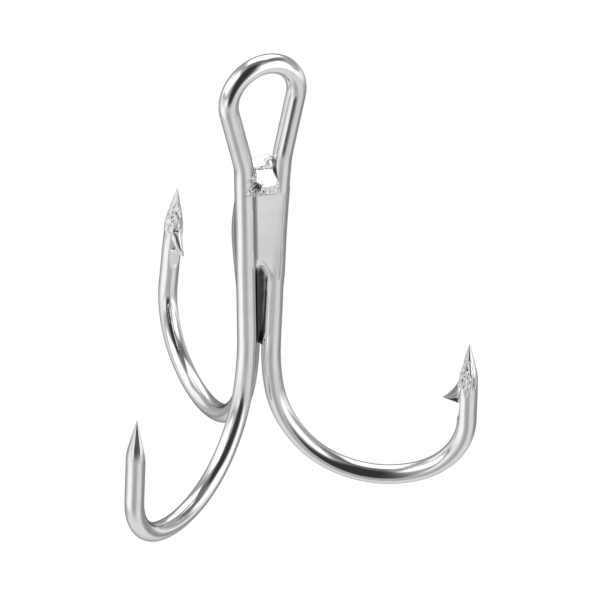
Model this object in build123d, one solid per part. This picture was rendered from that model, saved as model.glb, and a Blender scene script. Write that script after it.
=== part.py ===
from build123d import *
from dataclasses import dataclass
from math import acos, atan2, cos, degrees, hypot, radians, sin, tan
import os

# Treble hook of the common 1/0 size, a little under 32 mm long.
#
# One wire is bent into the eye, two shanks and two hooks (double_hook). A second wire is one more
# hook with a scarfed shank (single_hook), laid behind the pair. Brazing metal fills the channel
# between the three shanks (shank_braze) and stands proud at the foot of the eye (throat_bead).
#
# Millimetres and degrees. The origin is the centre of the eye. The eye spreads along X and a ring
# passes through it along Y. The shanks run down from it along -Z, the lone hook on the +Y side.

# Wire and eye
WIRE_D = 1.21
EYE_R = 2.32          # centre of the eye to the middle of its wire
EYE_H = 4.61          # centre of the eye to the throat, where its legs become shanks
EYE_LEAN = 3.2        # the eye is set back out of the plane of the shanks
THROAT_X = {-1: -1.28, 1: 1.36}   # where the left (-1) and right (1) shanks pass the throat
THROAT_R = 5.0        # how gently the wire turns from leg to shank

# Paired shanks
WAIST_Z = -9.3        # they are pinched towards each other here
WAIST_X = {-1: -1.03, 1: 1.16}
WAIST_R = 30.0
BEND_Z = -18.75       # height at which the shanks end and the bends start
BEND_RHO = 0.967      # distance of each shank from the hook's axis at that height
AXIS_SHIFT_Y = 0.055  # the hook's axis lies this far behind the middle of the throat
SHANK_RUN = 0.60      # upright wire between the end of the shank and the bend
SHANK_R = 12.0        # how gently the shank turns upright there

# Lone shank: it leans against the back of the left shank and ends in a scarf
LONE_LEAN_LEFT = 4.9
LONE_LEAN_BACK = 1.3
LONE_TOP_Z = -6.4
SCARF_LOW_Z = -10.2
SCARF_ANGLE = 6.0
SCARF_AZIMUTH = 150.0

# Bend: four arcs (radius, turn), slack to tight, then a straight leg to the point
BEND_ARCS = ((18.0, 10.0), (8.20, 30.6), (6.26, 74.4), (4.62, 65.8))

# Point and barb, measured down from the tip
TIP_R = 0.012
CONE_L = 2.5
FACET_INNER_L = 3.0   # the two facets on the barb's side are longer
FACET_OUTER_L = 2.7
BARB_ROOT = 3.00
BARB_DOWN = 4.25
BARB_OUT = 0.88       # how far the barb stands out of the wire
BARB_LIP = 0.15       # thickness of the barb's lip
BARB_W = 0.86         # width of the barb where it leaves the wire
BARB_TIP_W = 0.10
NOTCH_DEPTH = 0.16    # the wire is cut this deep under the barb
NOTCH_L = 2.2

# Brazing metal
WEB_TOP_Z = -6.3
WEB_LOW_Z = -12.6
WEB_RECESS = 0.26     # the web lies this far behind the front of the left shank
FILLET_SAG = 0.12     # how far the rear fillets are hollowed
GROOVE_TOP_Z = -13.7  # below the web the braze lies deep between the paired shanks
GROOVE_LOW_Z = -18.4
GROOVE_ANGLE = 10.0   # it meets them this far in front of their middles
BEAD_Z = -5.70
BEAD_TOP_Z = -4.20
BEAD_SIZE = (1.38, 0.90, 1.56)


@dataclass
class Hook:
    azimuth: float    # where the bend points, from +X
    size: float       # size of the bend against BEND_ARCS
    lift: float       # how far its bend starts above BEND_Z
    leg: float        # straight wire from the bend to the tip
    kirb: float       # sideways set of the last arc
    barb_turn: float  # how far the barb is rolled about the leg


# The three are bent one at a time, so they differ a little.
LEFT = Hook(207.4, 0.971, 0.25, 6.15, 0.0, 14.0)
RIGHT = Hook(325.6, 1.013, 0.09, 5.97, 0.0, 0.0)
LONE = Hook(86.4, 1.022, -0.29, 7.55, 3.4, 11.0)

WIRE_R = WIRE_D / 2
THROAT_Y = -EYE_H * tan(radians(EYE_LEAN))
AXIS_Y = THROAT_Y + AXIS_SHIFT_Y
UP = Vector(0, 0, 1)


def outward(hook):
    """Horizontal direction in which a hook points."""
    return Vector(cos(radians(hook.azimuth)), sin(radians(hook.azimuth)), 0)


def bend_start(hook):
    return Vector(0, AXIS_Y, BEND_Z + hook.lift) + outward(hook) * BEND_RHO


def shank_end(hook):
    return bend_start(hook) + UP * SHANK_RUN


def paired_corners(hook, side):
    """Throat, waist and lower end of the left (-1) or the right (+1) shank."""
    throat = Vector(THROAT_X[side], THROAT_Y, -EYE_H)
    waist = Vector(WAIST_X[side], (THROAT_Y + AXIS_Y) / 2, WAIST_Z)
    return throat, waist, shank_end(hook)


def lone_at(z):
    """Middle of the lone shank at one height."""
    low = shank_end(LONE)
    rise = z - low.Z
    return Vector(low.X - rise * tan(radians(LONE_LEAN_LEFT)),
                  low.Y + rise * tan(radians(LONE_LEAN_BACK)), z)


def paired_at(hook, side, z):
    """Middle of one of the paired shanks at one height."""
    throat, waist, low = paired_corners(hook, side)
    above, below = (throat, waist) if z > WAIST_Z else (waist, low)
    return below + (above - below) * ((z - below.Z) / (above.Z - below.Z))


def arc_step(place, heading, normal, radius, angle):
    """One arc of wire, turning from heading towards normal. Gives its edge and the new state."""
    centre = place + normal * radius

    def at(turn):
        return centre - normal * (radius * cos(turn)) + heading * (radius * sin(turn))

    full = radians(angle)
    edge = Edge.make_three_point_arc(place, at(full / 2), at(full))
    new_heading = heading * cos(full) + normal * sin(full)
    new_normal = normal * cos(full) - heading * sin(full)
    return edge, at(full), new_heading, new_normal


def rounded_corner(before, corner, after, radius):
    """Arc that turns a straight wire smoothly at a corner. Gives its start, edge and end."""
    back = (before - corner).normalized()
    ahead = (after - corner).normalized()
    half = acos(back.dot(ahead)) / 2
    reach = radius / tan(half)
    middle = corner + (back + ahead).normalized() * (radius / sin(half) - radius)
    start = corner + back * reach
    end = corner + ahead * reach
    return start, Edge.make_three_point_arc(start, middle, end), end


def straight_run(corners, radii):
    """Edges along straight lines through the corners, each inner corner rounded."""
    edges = []
    start = corners[0]
    for before, corner, after, radius in zip(corners, corners[1:], corners[2:], radii):
        arc_start, arc, arc_end = rounded_corner(before, corner, after, radius)
        edges += [Edge.make_line(start, arc_start), arc]
        start = arc_end
    return edges + [Edge.make_line(start, corners[-1])]


def bend_and_leg(hook):
    """Edges from the bend's start to the tip, and the point's own plane (X inward, Z to the tip)."""
    place, heading, normal = bend_start(hook), -UP, outward(hook)
    edges = []
    for index, (radius, angle) in enumerate(BEND_ARCS):
        if index == len(BEND_ARCS) - 1:
            normal = normal.rotate(Axis((0, 0, 0), heading), hook.kirb)
        edge, place, heading, normal = arc_step(place, heading, normal, radius * hook.size, angle)
        edges.append(edge)
    tip = place + heading * hook.leg
    edges.append(Edge.make_line(place, tip))
    return edges, Plane(origin=tip, x_dir=normal, z_dir=heading)


def eye_loop():
    """The loop, with its start on the left leg and its end on the right leg."""
    lean = radians(EYE_LEAN)
    rise = Vector(0, sin(lean), cos(lean))
    height = EYE_H / cos(lean)

    def leg_top(side):
        """Where the leg on one side leaves the loop, without a kink."""
        half = abs(THROAT_X[side])
        meet = acos(EYE_R / hypot(height, half)) - atan2(height, half)
        return rise * (EYE_R * sin(meet)) + Vector(side * EYE_R * cos(meet), 0, 0)

    start, end = leg_top(-1), leg_top(1)
    return start, Edge.make_three_point_arc(start, rise * EYE_R, end), end


def half_of_double(hook, side, leg_top):
    """Edges of one half of the double hook, from the eye's leg down to the tip."""
    corners = (leg_top, *paired_corners(hook, side), bend_start(hook))
    bend, point_plane = bend_and_leg(hook)
    return straight_run(corners, (THROAT_R, WAIST_R, SHANK_R)) + bend, point_plane


def round_wire(edges):
    """Wire of WIRE_D swept along edges that follow on from each other."""
    path = Wire(edges)
    section = Plane(origin=path @ 0, z_dir=path % 0) * Circle(WIRE_R)
    return sweep(section, path=path)


def point_form():
    """What the grinding leaves of the last few millimetres: a cone with four flats."""
    length = FACET_INNER_L + 0.4
    slope = (WIRE_R - TIP_R) / CONE_L
    form = Pos(0, 0, -length / 2) * Cone(TIP_R + slope * length, TIP_R, length)
    for turn, facet_l in ((45, FACET_INNER_L), (-45, FACET_INNER_L),
                          (135, FACET_OUTER_L), (-135, FACET_OUTER_L)):
        tilt = degrees(atan2(WIRE_R - TIP_R, facet_l))
        waste = Pos(0.5 + TIP_R, 0, -length / 2) * Box(1, 3, 2 * length)
        form -= Rot(Z=turn) * Rot(Y=-tilt) * waste
    return form


def grinding_waste():
    """What is ground away around the point."""
    length = FACET_INNER_L + 0.2
    return Pos(0, 0, 0.25 - length / 2) * Cylinder(WIRE_D, length + 0.5) - point_form()


def barb():
    """Thorn raised on the inner side (+X), with its cutting tip pointing down the leg."""
    root_x = WIRE_R - 0.2
    tip_x = WIRE_R + BARB_OUT
    low_z = -BARB_DOWN - BARB_LIP
    back = Line((root_x, -BARB_ROOT - 0.25), (root_x, low_z))
    under = ThreePointArc((root_x, low_z), (WIRE_R + 0.5 * BARB_OUT, low_z + 0.03),
                          (tip_x, -BARB_DOWN))
    upper = ThreePointArc((tip_x, -BARB_DOWN), (WIRE_R + 0.30 * BARB_OUT, -BARB_DOWN + 0.52),
                          (WIRE_R - 0.04, -BARB_ROOT))
    close = Line((WIRE_R - 0.04, -BARB_ROOT), (root_x, -BARB_ROOT - 0.25))
    thorn = extrude(Plane.XZ * make_face([back, under, upper, close]), WIRE_R, both=True)
    end_x = tip_x + 0.05
    plan = Polyline((0, -BARB_W / 2), (WIRE_R, -BARB_W / 2), (end_x, -BARB_TIP_W / 2),
                    (end_x, BARB_TIP_W / 2), (WIRE_R, BARB_W / 2), (0, BARB_W / 2), close=True)
    return thorn & (Pos(0, 0, low_z) * extrude(make_face(plan), -low_z))


def notch():
    """Slice taken out of the wire under the barb."""
    high = -BARB_DOWN - BARB_LIP
    outline = Polyline((WIRE_R - NOTCH_DEPTH, high), (WIRE_D, high), (WIRE_D, high - NOTCH_L),
                       (WIRE_R, high - NOTCH_L), close=True)
    return extrude(Plane.XZ * make_face(outline), WIRE_R, both=True)


def add_point(body, point_plane, barb_turn):
    """Grinds the point, cuts the notch and raises the barb."""
    here = Location(point_plane)
    rolled = here * Rot(Z=barb_turn)
    return body - here * grinding_waste() - rolled * notch() + rolled * barb()


def scarf_waste():
    """Everything outside the plane that tapers the lone shank's upper end."""
    centre = lone_at(SCARF_LOW_Z)
    plane = Pos(centre.X, centre.Y, SCARF_LOW_Z) * Rot(Z=SCARF_AZIMUTH) * Pos(WIRE_R, 0, 0)
    return plane * Rot(Y=-SCARF_ANGLE) * Pos(3, 0, 4) * Box(6, 8, 12)


def make_double_hook():
    loop_start, loop, loop_end = eye_loop()
    left, left_point = half_of_double(LEFT, -1, loop_start)
    right, right_point = half_of_double(RIGHT, 1, loop_end)
    body = round_wire(left[::-1] + [loop] + right)
    body = add_point(body, left_point, LEFT.barb_turn)
    return add_point(body, right_point, RIGHT.barb_turn)


def make_single_hook():
    bend, point_plane = bend_and_leg(LONE)
    corners = (lone_at(LONE_TOP_Z), shank_end(LONE), bend_start(LONE))
    body = round_wire(straight_run(corners, (SHANK_R,)) + bend)
    return add_point(body, point_plane, LONE.barb_turn) - scarf_waste()


def channel_outline(z, in_groove):
    """Outline of the braze at one height: flat in front or deep in the groove, hollow behind."""
    left, right, lone = paired_at(LEFT, -1, z), paired_at(RIGHT, 1, z), lone_at(z)
    middle = (left + right + lone) / 3

    def contact(centre, angle):
        """Point on a wire's surface, just inside it."""
        return centre + Vector(cos(radians(angle)), sin(radians(angle)), 0) * (WIRE_R * 0.985)

    def hollow(first, second):
        """Fillet surface from wire to wire, drawn in towards the middle of the channel."""
        halfway = (first + second) / 2
        drawn_in = halfway + (middle - halfway).normalized() * FILLET_SAG
        return Edge.make_three_point_arc(first, drawn_in, second)

    if in_groove:
        front_left, front_right = contact(left, -GROOVE_ANGLE), contact(right, 180 + GROOVE_ANGLE)
        front = hollow(front_left, front_right)
    else:
        front_left = Vector(left.X + WIRE_R * 0.62, left.Y - WIRE_R + WEB_RECESS, z)
        front_right = contact(right, -97)
        front = Edge.make_line(front_left, front_right)
    back_right, lone_right = contact(right, 72), contact(lone, 30)
    lone_left, back_left = contact(lone, 190), contact(left, 150)
    return Wire([
        Edge.make_line(left, front_left), front,
        Edge.make_line(front_right, right), Edge.make_line(right, back_right),
        hollow(back_right, lone_right), Edge.make_line(lone_right, lone),
        Edge.make_line(lone, lone_left), hollow(lone_left, back_left),
        Edge.make_line(back_left, left),
    ])


def make_shank_braze(wires):
    """Braze drawn into the channel between the shanks: a web above, a deep groove below."""
    groove = [Face(channel_outline(z, True)) for z in (GROOVE_LOW_Z, GROOVE_TOP_Z)]
    web = [Face(channel_outline(z, False)) for z in (WEB_LOW_Z, WAIST_Z, WEB_TOP_Z)]
    body = loft(groove + web, ruled=True) - scarf_waste()
    for wire in wires:
        body -= wire
    return body


def make_throat_bead(others):
    """Rounded lump of braze on top of the web, with a flat top between the eye's legs."""
    bead = Pos(0, THROAT_Y, BEAD_Z) * scale(Sphere(1), by=BEAD_SIZE)
    bead -= Pos(0, 0, BEAD_TOP_Z + 2) * Box(6, 6, 4)
    for other in others:
        bead -= other
    return bead


def main():
    double_hook = make_double_hook()
    single_hook = make_single_hook()
    shank_braze = make_shank_braze([double_hook, single_hook])
    throat_bead = make_throat_bead([double_hook, single_hook, shank_braze])
    os.makedirs("parts", exist_ok=True)
    export_step(double_hook, "parts/double_hook.step")
    export_step(single_hook, "parts/single_hook.step")
    export_step(shank_braze, "parts/shank_braze.step")
    export_step(throat_bead, "parts/throat_bead.step")


main()
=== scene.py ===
from math import acos, atan2, cos, exp, hypot, pi, radians, sin, tan

import bmesh
import bpy
from mathutils import Matrix, Quaternion, Vector, noise


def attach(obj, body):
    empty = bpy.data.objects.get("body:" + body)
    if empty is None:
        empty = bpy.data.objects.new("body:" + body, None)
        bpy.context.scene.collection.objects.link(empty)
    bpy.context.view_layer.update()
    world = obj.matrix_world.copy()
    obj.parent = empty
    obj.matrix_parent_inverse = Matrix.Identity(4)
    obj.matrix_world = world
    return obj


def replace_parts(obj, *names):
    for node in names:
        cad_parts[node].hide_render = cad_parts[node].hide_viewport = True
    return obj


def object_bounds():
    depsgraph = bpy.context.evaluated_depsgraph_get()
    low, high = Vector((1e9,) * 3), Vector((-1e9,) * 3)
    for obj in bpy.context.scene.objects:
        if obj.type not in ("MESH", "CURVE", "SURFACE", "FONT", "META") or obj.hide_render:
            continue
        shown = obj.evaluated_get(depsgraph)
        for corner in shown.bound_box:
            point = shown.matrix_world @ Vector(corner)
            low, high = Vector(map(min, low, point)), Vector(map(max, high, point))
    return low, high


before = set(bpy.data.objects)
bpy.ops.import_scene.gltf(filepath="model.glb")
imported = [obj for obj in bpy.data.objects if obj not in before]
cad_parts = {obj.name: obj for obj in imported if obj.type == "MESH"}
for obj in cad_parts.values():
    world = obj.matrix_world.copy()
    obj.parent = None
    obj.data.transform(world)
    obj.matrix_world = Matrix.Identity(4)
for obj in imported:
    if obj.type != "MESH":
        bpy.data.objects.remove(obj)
CAD_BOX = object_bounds()

# Treble hook, in the frame of the CAD: eye at the origin, shanks down -Z, lone hook towards +Y.
# Lengths are in millimetres until a mesh is made.
MM = 0.001
UP = Vector((0, 0, 1))

# ---------------------------------------------------------------- driving dimensions
WIRE_R = 0.605

# Eye: its radius, the throat's depth below its centre, and how far it is set back.
EYE_R, EYE_H, EYE_LEAN = 2.32, 4.61, radians(3.2)

# Paired shanks, left (-1) and right (1): they pass the throat, are pinched at the waist and end
# at the bends, BEND_RHO from the hook's axis.
THROAT_X, THROAT_R = {-1: -1.28, 1: 1.36}, 5.0
WAIST_Z, WAIST_X, WAIST_R = -9.3, {-1: -1.03, 1: 1.16}, 60.0
BEND_Z, BEND_RHO, AXIS_SHIFT_Y = -18.75, 0.967, 0.055
SHANK_RUN, SHANK_R = 0.60, 11.0

# Lone shank: it leans left and back, and a sloping cut (the scarf) tapers its upper end.
LONE_LEAN_LEFT, LONE_LEAN_BACK, LONE_TOP_Z = radians(6.0), radians(1.3), -6.4
SCARF_LOW_Z, SCARF_ANGLE, SCARF_AZIMUTH = -10.2, radians(6), radians(150)
SCARF_REACH_Z, SCARF_SOFT = -13.5, 0.30

# Bends: arcs as (radius, degrees), slack to tight.
BEND_ARCS = ((18.0, 10.0), (8.20, 30.6), (6.26, 74.4), (4.62, 65.8))

# Points and barbs, measured down from the tip.
TIP_R, CONE_L, FACET_INNER_L, FACET_OUTER_L = 0.012, 2.5, 3.0, 2.7
BARB_ROOT, BARB_DOWN, BARB_OUT, BARB_LIP = 2.95, 4.32, 0.98, 0.15
BARB_W, NOTCH_DEPTH, NOTCH_L = 0.86, 0.16, 2.2

# Brazing metal between the shanks: a flush web above, a deep groove below it.
WEB_TOP_Z, WEB_LOW_Z, GROOVE_LOW_Z, FILLET_SAG = -6.35, -13.1, -18.4, 0.12

THROAT_Y = -EYE_H * tan(EYE_LEAN)
AXIS_Y = THROAT_Y + AXIS_SHIFT_Y


class Hook:
    """One of the three bends: the azimuth it points to, its size, how far it starts above
    BEND_Z, its straight leg, its sideways set and its barb's roll (degrees).

    crumple is how deep the stamping marks are, barb_darkening how far the colour of the cut
    barb is darkened, and shift how far the bend is moved along X.
    """

    def __init__(self, azimuth, size, lift, leg, kirb, barb_turn, crumple, barb_darkening, shift=0.0):
        a = radians(azimuth)
        self.outward = Vector((cos(a), sin(a), 0))
        self.size, self.leg, self.kirb = size, leg, radians(kirb)
        self.barb_turn, self.crumple, self.barb_darkening = radians(barb_turn), crumple, barb_darkening
        self.start = Vector((shift, AXIS_Y, BEND_Z + lift)) + self.outward * BEND_RHO
        self.shank_end = self.start + UP * SHANK_RUN


LEFT = Hook(207.4, 0.971, 0.25, 6.15, 0.0, 19.0, 0.1, 0.3)
RIGHT = Hook(325.6, 1.013, 0.09, 5.97, 0.0, 0.0, 1.3, 0.6)
LONE = Hook(86.9, 1.022, -0.29, 7.55, 3.4, 17.0, 1.0, 0.1, 0.10)


# ---------------------------------------------------------------- centrelines
def line(a, b):
    """Straight piece of centreline: its length, and place and heading at a distance along it."""
    length = (b - a).length
    heading = (b - a) / length
    return length, lambda s: (a + heading * s, heading)


def arc(place, heading, normal, radius, angle):
    """Curved piece, turning from heading towards normal."""
    centre = place + normal * radius

    def at(s):
        t = s / radius
        return (centre - normal * (radius * cos(t)) + heading * (radius * sin(t)),
                heading * cos(t) + normal * sin(t))
    return radius * angle, at


def reverse(pieces):
    """The same centreline, followed from its other end."""
    def turned(length, at):
        def back(s):
            place, heading = at(length - s)
            return place, -heading
        return length, back
    return [turned(*piece) for piece in reversed(pieces)]


def rounded(corners, radii):
    """Straight runs through the corners, each inner corner rounded."""
    pieces, start = [], corners[0]
    for before, corner, after, radius in zip(corners, corners[1:], corners[2:], radii):
        back, ahead = (before - corner).normalized(), (after - corner).normalized()
        half = acos(max(-1, min(1, back.dot(ahead)))) / 2
        first = corner + back * (radius / tan(half))
        normal = (ahead - back * ahead.dot(back)).normalized()
        pieces += [line(start, first), arc(first, -back, normal, radius, pi - 2 * half)]
        start = corner + ahead * (radius / tan(half))
    return pieces + [line(start, corners[-1])]


def bend_and_leg(hook):
    """Centreline from the start of the bend to the tip, and the inward direction at the tip."""
    place, heading, normal = hook.start, -UP, hook.outward
    pieces = []
    for index, (radius, degrees) in enumerate(BEND_ARCS):
        if index == len(BEND_ARCS) - 1:
            normal = Quaternion(heading, hook.kirb) @ normal
        turn = radians(degrees)
        piece = arc(place, heading, normal, radius * hook.size, turn)
        pieces.append(piece)
        place = piece[1](piece[0])[0]
        heading, normal = (heading * cos(turn) + normal * sin(turn),
                           normal * cos(turn) - heading * sin(turn))
    pieces.append(line(place, place + heading * hook.leg))
    return pieces, normal


def paired_corners(hook, side):
    """Where the straight runs of a paired shank meet: at the throat, the waist and its low end."""
    return (Vector((THROAT_X[side], THROAT_Y, -EYE_H)),
            Vector((WAIST_X[side], (THROAT_Y + AXIS_Y) / 2, WAIST_Z)), hook.shank_end)


def paired_at(hook, side, z):
    """Middle of one of the paired shanks at one height."""
    throat, waist, low = paired_corners(hook, side)
    above, below = (throat, waist) if z > WAIST_Z else (waist, low)
    return below + (above - below) * ((z - below.z) / (above.z - below.z))


def lone_at(z):
    """Middle of the lone shank at one height."""
    low = LONE.shank_end
    rise = z - low.z
    return Vector((low.x - rise * tan(LONE_LEAN_LEFT), low.y + rise * tan(LONE_LEAN_BACK), z))


def double_centreline():
    """From the left tip over the eye to the right tip."""
    rise = Vector((0, sin(EYE_LEAN), cos(EYE_LEAN)))
    height = EYE_H / cos(EYE_LEAN)
    halves, meets = [], []
    for hook, side in ((LEFT, -1), (RIGHT, 1)):
        half = abs(THROAT_X[side])
        meet = acos(EYE_R / hypot(height, half)) - atan2(height, half)
        top = rise * (EYE_R * sin(meet)) + Vector((side * EYE_R * cos(meet), 0, 0))
        bend, inward = bend_and_leg(hook)
        corners = (top, *paired_corners(hook, side), hook.start)
        halves.append((rounded(corners, (THROAT_R, WAIST_R, SHANK_R)) + bend, inward))
        meets.append((meet, top))
    (left, left_in), (right, right_in) = halves
    (left_meet, left_top), (right_meet, _) = meets
    radial = left_top.normalized()
    heading = radial.cross(Vector((0, -cos(EYE_LEAN), sin(EYE_LEAN)))).normalized()
    loop = arc(left_top, heading if heading.z > 0 else -heading, -radial, EYE_R,
               pi - left_meet - right_meet)
    return reverse(left) + [loop] + right, left_in, right_in


def lone_centreline():
    """From the scarfed top to the tip."""
    bend, inward = bend_and_leg(LONE)
    return rounded((lone_at(LONE_TOP_Z), LONE.shank_end, LONE.start), (SHANK_R,)) + bend, inward


# ---------------------------------------------------------------- the wire as a mesh
AROUND = 96           # vertices around the wire
FINE_STEP, LIP_STEP, COARSE_STEP = 0.035, 0.035 / 3, 0.16   # ring spacing
FINE_L = 5.8          # length of the finely divided end
LIP_BEFORE, LIP_AFTER = 0.1, 0.05   # how far the closest rings reach past the barb's lip
SHOULDER = 0.16       # rounding where the ground point meets the wire
RUN_OUT = 0.02        # the ground point ends this far above the wire
GRAZING = 0.05        # a flat that faces away by this cosine or less doesn't cut the wire
RIDGE_TAPER = 0.72    # how much narrower the barb is at its lip
NOTCH_SOFT = 0.05     # rounding along the notch's edges
STAMP_DEPTH, STAMP_TOP, STAMP_LOW, STAMP_FADE = 0.15, 0.7, 4.1, 0.9
GRIND_FADE = 1.6      # length over which the ground finish fades
BARB_DARKENING_HEIGHT = 0.12    # the barb is at its darkest from this far out of the wire
WAVES = 0.45          # waviness of the wire, per millimetre
OTHER_END = 7         # shift of the noise between the two ends of a wire


def smooth(x):
    x = max(0.0, min(1.0, x))
    return x * x * (3 - 2 * x)


def point_radius(down, angle):
    """Radius of the ground point at a distance down from the tip; angle 0 faces the barb's side."""
    slope = (WIRE_R - TIP_R) / CONE_L
    radius = TIP_R + slope * down
    for turn, length in ((pi / 4, FACET_INNER_L), (-pi / 4, FACET_INNER_L),
                         (3 * pi / 4, FACET_OUTER_L), (-3 * pi / 4, FACET_OUTER_L)):
        away = cos(angle - turn)
        if away > GRAZING:
            radius = min(radius, (TIP_R + (WIRE_R - TIP_R) * down / length) / away)
    return blended(radius, WIRE_R + RUN_OUT, SHOULDER)


def blended(first, second, soft):
    """The smaller of two lengths, rounded over where they are nearly equal."""
    near = max(0.0, 1 - abs(first - second) / soft)
    return min(first, second) - soft * near * near / 4


def barb_height(down):
    """How far the barb's ridge stands out of the wire at a distance down from the tip."""
    if down < BARB_ROOT or down > BARB_DOWN + BARB_LIP:
        return 0.0
    if down > BARB_DOWN:
        return BARB_OUT * (BARB_DOWN + BARB_LIP - down) / BARB_LIP
    t = (down - BARB_ROOT) / (BARB_DOWN - BARB_ROOT)
    return BARB_OUT * (t + t ** 2.6) / 2


def stamping(down, facing, crumple, seed):
    """Depth of the marks that the dies leave between the point and the barb."""
    share = crumple * smooth((down - STAMP_TOP) / STAMP_FADE)
    share *= smooth((STAMP_LOW - down) / STAMP_FADE)
    share *= 0.45 + 0.55 * smooth((cos(facing) + 0.5) / 0.8)
    share *= 1 - 0.9 * smooth(cos(facing) / 0.5) * smooth((down - BARB_ROOT) / 0.3)
    if share <= 0.01:
        return 0.0
    spot = Vector((down, facing * 2.2, seed))
    crease = abs(noise.noise(spot)) + 0.32 * abs(noise.noise(spot * 2.8))
    return STAMP_DEPTH * share * crease * min(1.0, down / 2.2)


def shaped_radius(down, angle, roll, radius, crumple, seed):
    """Radius of the finished end: ground point, raised barb, notch under it and stamping marks."""
    radius = min(radius, point_radius(down, angle))
    facing = angle - roll
    ridge = barb_height(down)
    if ridge and cos(facing) > 0:
        sideways = abs(WIRE_R * sin(facing))
        spread = 0.5 * BARB_W * (1 - RIDGE_TAPER * ridge / BARB_OUT)
        radius += ridge * max(0.0, 1 - (sideways / spread) ** 1.6)
    below = down - BARB_DOWN - BARB_LIP
    if 0 <= below < NOTCH_L and cos(facing) > GRAZING:
        flat = WIRE_R - NOTCH_DEPTH * (1 - below / NOTCH_L)
        radius = blended(radius, flat / cos(facing), NOTCH_SOFT)
    return radius - stamping(down, facing, crumple, seed)


def ring_places(length, ends):
    """Distances of the rings along the centreline, closest together on the point and the barb.

    ends says which of the two ends is a point.
    """
    places, s = [], 0.0
    while s < length:
        places.append(s)
        gap = min(s if ends[0] else length, length - s if ends[1] else length)
        if BARB_DOWN - LIP_BEFORE < gap < BARB_DOWN + BARB_LIP + LIP_AFTER:
            s += LIP_STEP
        else:
            s += FINE_STEP if gap < FINE_L else COARSE_STEP
    return places + [length]


def walk(pieces, places):
    """Place and heading at each distance."""
    result, index, base = [], 0, 0.0
    for s in places:
        while index < len(pieces) - 1 and s > base + pieces[index][0]:
            base += pieces[index][0]
            index += 1
        result.append(pieces[index][1](min(s - base, pieces[index][0])))
    return result


def wire_mesh(pieces, hooks, start_in, end_in, wobble, seed):
    """A tube along the centreline. hooks are those whose points it ends in, None for a cut end."""
    length = sum(piece[0] for piece in pieces)
    places = ring_places(length, hooks)
    frames, side = [], None
    for place, heading in walk(pieces, places):
        if side is None:
            side = start_in if start_in else heading.orthogonal()
        side = (side - heading * side.dot(heading)).normalized()
        frames.append((place, heading, side.copy()))
    place, heading, side = frames[-1]
    target = (end_in - heading * end_in.dot(heading)).normalized()
    twist = atan2(heading.dot(side.cross(target)), side.dot(target))
    mesh = bmesh.new()
    uv = mesh.loops.layers.uv.new("wire")
    grind = mesh.verts.layers.float.new("ground")
    painted_shade_and_barb_tone = mesh.verts.layers.float.new("painted_shade_and_barb_tone")
    rings = []
    for s, (place, heading, side) in zip(places, frames):
        turned = Quaternion(heading, twist * s / length) @ side
        across = heading.cross(turned)
        down, turn, hook = min((d, turn, hook) for d, turn, hook in
                               ((s, -1, hooks[0]), (length - s, 1, hooks[1])) if hook)
        ring = []
        for k in range(AROUND):
            angle = 2 * pi * k / AROUND
            direction = turned * cos(angle) + across * sin(angle)
            soft = place * WAVES + Vector((seed, 0, 0)) + direction * 0.25
            radius = WIRE_R + wobble * noise.noise(soft)
            if down < FINE_L:
                radius = shaped_radius(down, angle, turn * hook.barb_turn, radius,
                                       hook.crumple, seed + (s < FINE_L) * OTHER_END)
            vert = mesh.verts.new((place + direction * radius) * MM)
            vert[grind] = 1 - smooth((down - FACET_INNER_L) / GRIND_FADE)
            # Colour darkened on the raised barb, more the further it stands out of the wire.
            vert[painted_shade_and_barb_tone] = hook.barb_darkening * smooth((radius - WIRE_R) / BARB_DARKENING_HEIGHT)
            ring.append(vert)
        rings.append(ring)
    for (s, first), (t, second) in zip(zip(places, rings), zip(places[1:], rings[1:])):
        for k in range(AROUND):
            after = (k + 1) % AROUND
            face = mesh.faces.new((first[k], first[after], second[after], second[k]))
            face.smooth = True
            for loop, (u, v) in zip(face.loops, ((k, s), (k + 1, s), (k + 1, t), (k, t))):
                loop[uv].uv = (u * 2 * pi * WIRE_R / AROUND, v)
    for ring, order in ((rings[0], -1), (rings[-1], 1)):
        mesh.faces.new(ring[::order])
    return mesh


def scarf_plane():
    """A place on the plane that tapers the lone shank's upper end, and the way it faces."""
    out = Vector((cos(SCARF_AZIMUTH), sin(SCARF_AZIMUTH), 0))
    return lone_at(SCARF_LOW_Z) + out * WIRE_R, out * cos(SCARF_ANGLE) + UP * sin(SCARF_ANGLE)


def pressed(point, clearance=0.0):
    """A point of the lone shank, pushed back behind the scarf's plane with a soft edge."""
    place, normal = scarf_plane()
    beyond = (point - place).dot(normal) + clearance
    return point - normal * (beyond - blended(beyond, 0.0, SCARF_SOFT))


# ---------------------------------------------------------------- brazing metal
INSIDE = WIRE_R * 0.97     # outlines run this far from the middle of a wire they touch
ROWS = 150
FILM = 0.045          # thickness of the metal on the front of the left shank
# Crease beside the left shank and the edge of the flat, from the middle of that shank.
WEB_CREASE, WEB_SHOULDER = Vector((0.600, -0.32, 0)), Vector((0.690, -0.40, 0))
COVER, SUNK = 0.03, 0.04   # how proud the metal is on the right shank, and how far sunk above it
COVER_WAVE = 0.03
FLAT_STEPS, FLAT_SAG = 23, 0.04
LAP, GROOVE_SAG = 0.02, 0.24   # the metal's lap on the right shank, and the groove's depth
WEB_SPREAD_L = 0.8    # length over which the metal spreads onto the right shank
EDGE_FALL, EDGE_L = 1.7, 1.5   # slope and softness of the web's lower edge
TAPER, TAPER_L = 0.5, 1.4      # how far and over what length the braze thins at its lower end
REAR_CLEAR = 0.02     # the rear lies this far inside the scarf
RIPPLE = 0.02         # unevenness of the braze
EASE_REACH, EASE_STEP = 3, 0.45     # steps each way over which a shank's corners are eased


def on_wire(centre, angle, radius=INSIDE):
    """Point at an angle (radians) around the middle of a wire."""
    return centre + Vector((cos(angle), sin(angle), 0)) * radius


def around(centre, first, last, count, radius=INSIDE):
    """Points along a wire, from one angle to another (degrees)."""
    angles = [radians(first + (last - first) * i / (count - 1)) for i in range(count)]
    return [on_wire(centre, a, radius) for a in angles]


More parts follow.
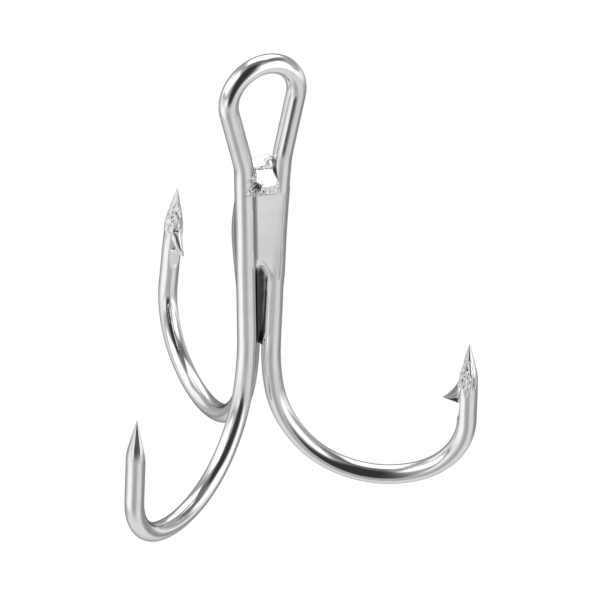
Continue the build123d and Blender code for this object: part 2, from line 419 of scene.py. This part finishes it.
def between(first, second, middle, sag, count):
    """Hollow surface from one wire to the next, without its two ends."""
    inward = (middle - (first + second) / 2).normalized()
    steps = [i / (count + 1) for i in range(1, count + 1)]
    return [first.lerp(second, t) + inward * (4 * sag * t * (1 - t)) for t in steps]


def web_front(left, right, grown):
    """Front of the web: a film on the left shank, a crease, then a flat that runs onto the right.

    grown says how far the metal has spread onto the right shank, 0 to 1.
    """
    film = [on_wire(left, radians(-85))] + around(left, -72, -33, 9, WIRE_R + FILM)
    thick = COVER * grown - SUNK * (1 - grown)
    shoulder, end = left + WEB_SHOULDER, right + Vector((0, -WIRE_R - thick, 0))
    flat = []
    for i in range(FLAT_STEPS + 1):
        point = shoulder.lerp(end, i / FLAT_STEPS)
        point.y += FLAT_SAG * sin(pi * i / FLAT_STEPS)
        flat.append(point)
    cover = []
    for i in range(15):
        angle = radians(-84 + 6 * i)
        wave = COVER_WAVE * grown * sin(2 * angle + 1.6)
        cover.append(on_wire(right, angle, WIRE_R + thick + wave))
    return film + [left + WEB_CREASE] + flat + cover + around(right, 12, 20, 2)


def groove_front(left, right, middle, count):
    """Front of the braze lower down: a deep groove that laps onto the flank of the right shank.

    count is the number of points to make.
    """
    first = around(left, -55, -12, 8)
    lap = around(right, 186, 228, 14, WIRE_R + LAP)
    last = around(right, 236, 380, 16)
    rest = count - len(first + lap + last)
    return first + between(first[-1], lap[0], middle, GROOVE_SAG, rest) + lap + last


def braze_outline(z):
    """Front and rear of the braze at one height."""
    left = eased_at(lambda height: paired_at(LEFT, -1, height), z)
    right = eased_at(lambda height: paired_at(RIGHT, 1, height), z)
    lone = lone_at(z)
    middle = (left + right + lone) / 3
    web = web_front(left, right, smooth((WEB_TOP_Z - 0.1 - z) / WEB_SPREAD_L))
    groove = groove_front(left, right, middle, len(web))
    front, taper = [], TAPER * smooth((GROOVE_LOW_Z + 1.2 - z) / TAPER_L)
    for i, (high, low) in enumerate(zip(web, groove)):
        edge = WEB_LOW_Z + 0.9 - EDGE_FALL * smooth((i / (len(web) - 1) - 0.18) / 0.5)
        point = high.lerp(low, smooth((edge + 0.7 - z) / EDGE_L))
        front.append(point.lerp(middle, taper))
    rear = around(right, 28, 72, 6)
    rear += between(rear[-1], on_wire(lone, radians(30)), middle, FILLET_SAG, 8)
    rear += around(lone, 30, -170, 16)
    rear += between(rear[-1], on_wire(left, radians(150)), middle, FILLET_SAG / 2, 8)
    rear += around(left, 150, 30, 10)
    return front, [pressed(point.lerp(middle, taper), REAR_CLEAR) for point in rear]


def lofted(outlines):
    """Closed mesh through outlines with equal numbers of points."""
    mesh = bmesh.new()
    mesh.loops.layers.uv.new("wire")
    rings = [[mesh.verts.new(p * MM) for p in outline] for outline in outlines]
    count = len(rings[0])
    for first, second in zip(rings, rings[1:]):
        for k in range(count):
            after = (k + 1) % count
            mesh.faces.new((first[k], first[after], second[after], second[k])).smooth = True
    mesh.faces.new(rings[0][::-1])
    mesh.faces.new(rings[-1])
    return mesh


def eased_at(place_at, z):
    """A shank's middle at one height, eased over the corners of its straight runs."""
    steps = [place_at(z + i * EASE_STEP) for i in range(-EASE_REACH, EASE_REACH + 1)]
    middle = sum(steps, Vector()) / len(steps)
    middle.z = z
    return middle


def groove_painted_shade(place):
    """How much painted shade the front of the braze gets: deep in the groove, and not on the right
    shank.
    """
    left, right = paired_at(LEFT, -1, place.z), paired_at(RIGHT, 1, place.z)
    share = (place.x - left.x) / (right.x - left.x)
    depth = place.y - left.y - (right.y - left.y) * share + 0.40 * WIRE_R
    off_flank = smooth((0.96 - share) / 0.12)
    return smooth(depth / 0.30) * smooth((WEB_LOW_Z + 1.2 - place.z) / 1.3) * off_flank


def braze_mesh():
    """Brazing metal between the three shanks."""
    outlines = []
    for i in range(ROWS + 1):
        front, rear = braze_outline(WEB_TOP_Z + (GROOVE_LOW_Z - WEB_TOP_Z) * i / ROWS)
        outline = []
        for point in front + rear:
            soft = Vector((point.x * 1.7, point.y * 1.7, point.z * 0.35))
            outline.append(point + Vector((0, RIPPLE * noise.noise(soft), 0)))
        outlines.append(outline)
    mesh = lofted(outlines)
    painted_shade_and_barb_tone = mesh.verts.layers.float.new("painted_shade_and_barb_tone")
    for index, vert in enumerate(mesh.verts):
        if index % len(outline) < len(front):
            # Painted shade deep in the groove on the front of the braze.
            vert[painted_shade_and_barb_tone] = groove_painted_shade(vert.co / MM)
    return mesh


# Section of the lump in the throat, front to back, as (y, z).
BEAD_SECTION = ((-0.60, -6.95), (-0.80, -6.84), (-0.91, -6.70), (-0.95, -6.40), (-0.93, -6.02),
                (-0.66, -5.55), (-0.38, -5.08), (-0.30, -5.04), (-0.38, -4.97), (-0.28, -4.90),
                (0.50, -4.80), (0.64, -4.92), (0.68, -5.70), (0.50, -6.70), (-0.20, -6.95))
BEAD_HALF_W, BEAD_MIDDLE_X = 1.36, -0.20
BEAD_HEART = Vector((BEAD_MIDDLE_X, -0.05, -5.9))
BEAD_POINTS, BEAD_SLICES = 150, 60   # points around it, slices from its middle to each end
BEAD_FOLD_Z = -5.02   # height of the fold along the front of its flat top
BEAD_SINK, BEAD_LIFT = 0.30, 0.36    # it sinks to the right, where its flat top is lifted back
PIT_X, PIT_Z, PIT_DEPTH = -0.65, -6.00, 0.20


def bead_section(count):
    """The section, rounded a little and evenly divided."""
    points = [Vector((0, y, z)) for y, z in BEAD_SECTION]
    loop, total = points + points[:1], 0.0
    lengths = [(b - a).length for a, b in zip(loop, loop[1:])]
    step, result = sum(lengths) / count, []
    for a, b, length in zip(loop, loop[1:], lengths):
        while total < length:
            result.append(a.lerp(b, total / length))
            total += step
        total -= length
    for _ in range(2):
        result = [(result[i - 1] + p * 2 + result[(i + 1) % len(result)]) / 4
                  for i, p in enumerate(result)]
    return result


def bead_place(p, s):
    """A point p of the section, carried to s: -1 is the lump's left end and 1 its right."""
    size = (1 - abs(s) ** 5) ** 0.5 * 0.6 + 0.4
    q = BEAD_HEART + (p - BEAD_HEART) * size
    q.x = s * BEAD_HALF_W + BEAD_MIDDLE_X
    on_top = smooth((p.y + 0.3) / 0.7) * smooth((p.z + 5.4) / 0.2)
    q.z += s * (BEAD_LIFT * on_top - BEAD_SINK)
    return q


def leg_cover(q):
    """How far q moves to the front, where the lump covers the eye's left leg."""
    leg = paired_at(LEFT, -1, q.z)
    film = 0.035 + 0.12 * smooth((q.x + 1.05) / 0.35) - 0.08 * smooth((-1.32 - q.x) / 0.2)
    cover = max(0.0, (WIRE_R + film) ** 2 - (q.x - leg.x) ** 2) ** 0.5
    spread = smooth((-4.7 - q.z) / 0.5) * smooth((q.z + 6.8) / 0.3)
    return min(0.0, leg.y - cover - q.y) * spread


def bead_relief(p, q, s):
    """How far the surface stands out at q: gentle swells, folds near its rims, and the pit."""
    rim = smooth((-0.25 - s) / 0.3) + smooth((s - 0.72) / 0.2) + smooth((-6.1 - q.z) / 0.25)
    rim = min(1.0, rim + 0.7 * (abs(p.z - BEAD_FOLD_Z) < 0.08))
    depth = 0.012 + (0.09 + 0.06 * (s < -0.2)) * rim
    folds = abs(noise.noise(q * 6.5)) + 0.7 * abs(noise.noise(q * 15))
    pit = exp(-((q.x - PIT_X) ** 2 + (q.z - PIT_Z) ** 2) / 0.04) * (q.y < 0)
    return 0.03 * noise.noise(q * 1.9) - depth * folds - PIT_DEPTH * pit


def bead_mesh():
    """Lump that froze between the eye's legs: flat on top, crumpled where it meets the wire."""
    section, outlines = bead_section(BEAD_POINTS), []
    for i in range(2 * BEAD_SLICES + 1):
        s = i / BEAD_SLICES - 1
        ring = []
        for p in section:
            q = bead_place(p, s)
            if q.y < 0.0 and q.x < -0.55:
                q.y += leg_cover(q)
            ring.append(q + (q - BEAD_HEART).normalized() * bead_relief(p, q, s))
        outlines.append(ring)
    mesh = lofted(outlines)
    painted_shade_and_barb_tone = mesh.verts.layers.float.new("painted_shade_and_barb_tone")
    for vert in mesh.verts:
        x, y, z = vert.co / MM
        away = (x - PIT_X) ** 2 + (z - PIT_Z) ** 2
        # Painted shade in the pit on the front of the lump, with darker specks around it.
        if y < 0:
            speck = max(0.0, noise.noise(vert.co * 9000))
            vert[painted_shade_and_barb_tone] = min(1.0, exp(-away / 0.07) + 1.6 * exp(-away / 0.4) * speck)
    return mesh


SHARP = radians(32)   # edges sharper than this aren't shaded smooth


def to_object(name, mesh, material):
    """The mesh as a piece that rides on the part's only body."""
    bmesh.ops.recalc_face_normals(mesh, faces=mesh.faces)
    for edge in mesh.edges:
        if len(edge.link_faces) == 2 and edge.calc_face_angle(0.0) > SHARP:
            edge.smooth = False
    data = bpy.data.meshes.new(name)
    mesh.to_mesh(data)
    mesh.free()
    data.materials.append(material)
    piece = bpy.data.objects.new(name, data)
    bpy.context.scene.collection.objects.link(piece)
    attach(piece, "root")
    return piece


# ---------------------------------------------------------------- node helpers
class Nodes:
    """Short way to write node trees."""

    def __init__(self, tree):
        self.tree = tree
        tree.nodes.clear()

    def add(self, kind, **settings):
        node = self.tree.nodes.new(kind)
        inputs = settings.pop("inputs", {})
        for key, value in settings.items():
            setattr(node, key, value)
        for key, value in inputs.items():
            if isinstance(value, bpy.types.NodeSocket):
                self.tree.links.new(value, node.inputs[key])
            else:
                node.inputs[key].default_value = value
        return node

    def math(self, operation, *values):
        return self.add("ShaderNodeMath", operation=operation,
                        inputs=dict(enumerate(values))).outputs[0]

    def vector(self, operation, *values, output=0):
        return self.add("ShaderNodeVectorMath", operation=operation,
                        inputs=dict(enumerate(values))).outputs[output]

    def fall(self, value, low, high, first=0.0, last=1.0):
        """Smooth step from first at low to last at high."""
        node = self.add("ShaderNodeMapRange", interpolation_type="SMOOTHSTEP")
        for key, part in zip(("Value", "From Min", "From Max", "To Min", "To Max"),
                             (value, low, high, first, last)):
            if isinstance(part, bpy.types.NodeSocket):
                self.tree.links.new(part, node.inputs[key])
            else:
                node.inputs[key].default_value = part
        return node.outputs[0]


# ---------------------------------------------------------------- materials
# The tone varies at random between the first two values; the third is the share of it left at full
# darkening: painted shade in the groove and the pit, and the darkening of the barbs.
PLATE_DARK, PLATE_BRIGHT, SHADE_AND_BARB_SHARE = 0.90, 0.95, 0.10


def plated(name, roughness, coarse):
    """Bright plating: neutral, with drawing marks, faint cloudiness and grain, painted shade in the
    groove and the pit, and darkened barbs.

    coarse is how strong the grain is against the drawing marks.
    """
    material = bpy.data.materials.new(name)
    material.use_nodes = True
    n = Nodes(material.node_tree)
    uv = n.add("ShaderNodeUVMap", uv_map="wire").outputs[0]
    place = n.add("ShaderNodeTexCoord").outputs["Object"]
    ground = n.add("ShaderNodeAttribute", attribute_name="ground").outputs["Fac"]
    streaks = n.add("ShaderNodeTexNoise", inputs={
        "Vector": n.vector("MULTIPLY", uv, (26.0, 1.1, 0.0)), "Scale": 1.0, "Detail": 5.0})
    cloud = n.add("ShaderNodeTexNoise", inputs={"Vector": place, "Scale": 900.0, "Detail": 4.0})
    grain = n.add("ShaderNodeTexNoise", inputs={"Vector": place, "Scale": 9000.0, "Detail": 3.0})
    painted_shade_and_barb_tone = n.add("ShaderNodeAttribute", attribute_name="painted_shade_and_barb_tone").outputs["Fac"]
    tone = n.fall(cloud.outputs[0], 0.3, 0.7, PLATE_DARK, PLATE_BRIGHT)
    # Colour darkened by painted shade in the groove and the pit, and on the raised barbs.
    tone = n.math("MULTIPLY", tone, n.fall(painted_shade_and_barb_tone, 0.0, 1.0, 1.0, SHADE_AND_BARB_SHARE))
    colour = n.add("ShaderNodeCombineColor", inputs={"Red": tone, "Green": tone, "Blue": tone})
    rough = n.math("ADD", roughness, n.math("MULTIPLY", n.fall(cloud.outputs[0], 0.35, 0.75), 0.05))
    rough = n.math("ADD", rough, n.math("MULTIPLY", ground, 0.10))
    height = n.math("ADD", n.math("MULTIPLY", streaks.outputs[0], 0.5),
                    n.math("MULTIPLY", grain.outputs[0], coarse))
    bump = n.add("ShaderNodeBump", inputs={"Strength": 0.35, "Distance": 0.0000035,
                                           "Height": height})
    shader = n.add("ShaderNodeBsdfPrincipled", inputs={
        "Base Color": colour.outputs[0], "Metallic": 1.0, "Roughness": rough,
        "Specular Tint": (0.42, 0.42, 0.42, 1.0), "Normal": bump.outputs[0]})
    n.add("ShaderNodeOutputMaterial", inputs={"Surface": shader.outputs[0]})
    return material


# ---------------------------------------------------------------- studio
# The photograph's viewing angle.
VIEW_AZIMUTH, VIEW_ELEVATION, VIEW_ROLL = radians(-29.65), radians(37.394), radians(-2.29)
VIEW_DISTANCE, VIEW_LENS, SENSOR = 0.4517, 442.8, 36.0
VIEW_AIM = Vector((1.509, -2.880, -13.906)) * MM

RIGHTWARD = Vector((cos(VIEW_AZIMUTH), sin(VIEW_AZIMUTH), 0))
AWAY = UP.cross(RIGHTWARD)

# Light and dark cards around the object: azimuth (0 beyond it, 90 on its right, 180 behind the
# camera) and elevation in degrees, then half width, half height, softness of the edge, brightness.
CARDS = (
    (75, 67, 0.40, 0.85, 0.45, 0.44),
    (60, -18, 0.95, 0.15, 0.18, 0.98),
    (-145, -14, 0.35, 0.15, 0.20, 0.96),
    (-92, -18, 0.50, 0.15, 0.20, 0.88),
    (174, 26, 0.50, 1.10, 0.55, 0.22),
    (180, -40, 0.34, 0.24, 0.55, 0.64),
    (-75, -48, 0.55, 0.16, 0.25, 0.68),
    (68, -40, 0.40, 0.24, 0.48, 0.60),
    (0, -38, 0.40, 0.26, 0.45, 0.55),
    (0, -80, 0.80, 0.35, 0.40, 0.92),
    (-68, 8, 0.30, 0.38, 0.30, 1.00),
    (120, -11, 0.34, 0.22, 0.20, 1.05),
    (-114, -35, 0.42, 0.24, 0.40, 1.00),
    (112, 17, 0.44, 0.38, 0.35, 1.10),
    (3, 45, 0.55, 0.64, 0.35, 1.15),
    (-107, 28, 0.50, 0.50, 0.35, 1.15),
)
# Brightness above and below the cards, and where and how softly the one turns into the other.
SKY, GROUND, HORIZON_Z, HORIZON_SOFT = 0.66, 0.87, -0.35, 0.36
DISPLAY_GAMMA = 2.2


def light_cards(n, direction):
    """Brightness of the studio in a direction, as a display value."""
    z = n.vector("DOT_PRODUCT", direction, UP, output=1)
    value = n.fall(z, HORIZON_Z - HORIZON_SOFT, HORIZON_Z + HORIZON_SOFT, GROUND, SKY)
    for azimuth, elevation, half_w, half_h, soft, level in CARDS:
        a, e = radians(azimuth), radians(elevation)
        towards = (RIGHTWARD * sin(a) + AWAY * cos(a)) * cos(e) + UP * sin(e)
        across = RIGHTWARD * cos(a) - AWAY * sin(a)
        above = across.cross(towards)
        ahead = n.vector("DOT_PRODUCT", direction, towards, output=1)
        depth = n.math("MAXIMUM", ahead, 0.001)
        mask = n.math("GREATER_THAN", ahead, 0.0)
        for axis, half in ((across, half_w), (above, half_h)):
            offset = n.vector("DOT_PRODUCT", direction, axis, output=1)
            offset = n.math("DIVIDE", n.math("ABSOLUTE", offset), depth)
            inside = n.fall(offset, half - soft / 2, half + soft / 2, 1.0, 0.0)
            mask = n.math("MULTIPLY", mask, inside)
        value = n.math("ADD", value, n.math("MULTIPLY", mask, n.math("SUBTRACT", level, value)))
    return value


def make_world():
    """Studio that the metal reflects, behind a backdrop that the camera sees as plain white."""
    world = bpy.data.worlds.new("studio")
    world.use_nodes = True
    bpy.context.scene.world = world
    n = Nodes(world.node_tree)
    direction = n.add("ShaderNodeTexCoord").outputs["Generated"]
    value = n.math("POWER", light_cards(n, direction), DISPLAY_GAMMA)
    seen = n.add("ShaderNodeLightPath").outputs["Is Camera Ray"]
    strength = n.math("ADD", n.math("MULTIPLY", value, n.math("SUBTRACT", 1.0, seen)), seen)
    light = n.add("ShaderNodeBackground", inputs={"Color": (1, 1, 1, 1), "Strength": strength})
    n.add("ShaderNodeOutputWorld", inputs={"Surface": light.outputs[0]})


FLOOR_HALF, FLOOR_GAP = 1.5, 0.00002   # metres


def make_floor():
    """Pale floor just under the lowest bend, evenly lit so that it melts into the backdrop."""
    mesh = bmesh.new()
    bmesh.ops.create_grid(mesh, x_segments=8, y_segments=8, size=FLOOR_HALF)
    data = bpy.data.meshes.new("floor")
    mesh.to_mesh(data)
    mesh.free()
    floor = bpy.data.objects.new("floor", data)
    floor.location = (0, 0, CAD_BOX[0][2] - FLOOR_GAP)
    bpy.context.scene.collection.objects.link(floor)
    material = bpy.data.materials.new("pale_floor")
    material.use_nodes = True
    n = Nodes(material.node_tree)
    light = n.add("ShaderNodeEmission", inputs={"Color": (1, 1, 1, 1), "Strength": 1.0})
    n.add("ShaderNodeOutputMaterial", inputs={"Surface": light.outputs[0]})
    data.materials.append(material)
    floor.visible_glossy = False


def make_camera():
    toward = ((-AWAY) * cos(VIEW_ELEVATION) + UP * sin(VIEW_ELEVATION))
    above = toward.cross(RIGHTWARD)
    across = RIGHTWARD * cos(VIEW_ROLL) - above * sin(VIEW_ROLL)
    above = RIGHTWARD * sin(VIEW_ROLL) + above * cos(VIEW_ROLL)
    data = bpy.data.cameras.new("camera")
    data.lens, data.sensor_width = VIEW_LENS, SENSOR
    data.clip_start, data.clip_end = 0.01, 10.0
    camera = bpy.data.objects.new("camera", data)
    rotation = Matrix((across, above, toward)).transposed().to_4x4()
    camera.matrix_world = Matrix.Translation(VIEW_AIM + toward * VIEW_DISTANCE) @ rotation
    bpy.context.scene.collection.objects.link(camera)
    bpy.context.scene.camera = camera


# ---------------------------------------------------------------- build
wire_metal = plated("plated_wire", roughness=0.045, coarse=0.4)
braze_metal = plated("plated_braze", roughness=0.07, coarse=1.0)

pieces, left_in, right_in = double_centreline()
mesh = wire_mesh(pieces, (LEFT, RIGHT), left_in, right_in, wobble=0.006, seed=0.0)
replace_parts(to_object("double_hook_wire", mesh, wire_metal), "double_hook")

pieces, inward = lone_centreline()
mesh = wire_mesh(pieces, (None, LONE), None, inward, wobble=0.010, seed=40.0)
for vert in mesh.verts:
    if vert.co.z > SCARF_REACH_Z * MM:
        vert.co = pressed(vert.co / MM) * MM
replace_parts(to_object("single_hook_wire", mesh, wire_metal), "single_hook")

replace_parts(to_object("shank_braze_fill", braze_mesh(), braze_metal), "shank_braze")
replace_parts(to_object("throat_bead_lump", bead_mesh(), braze_metal), "throat_bead")

make_world()
make_floor()
make_camera()
bpy.context.scene.view_settings.view_transform = "Standard"
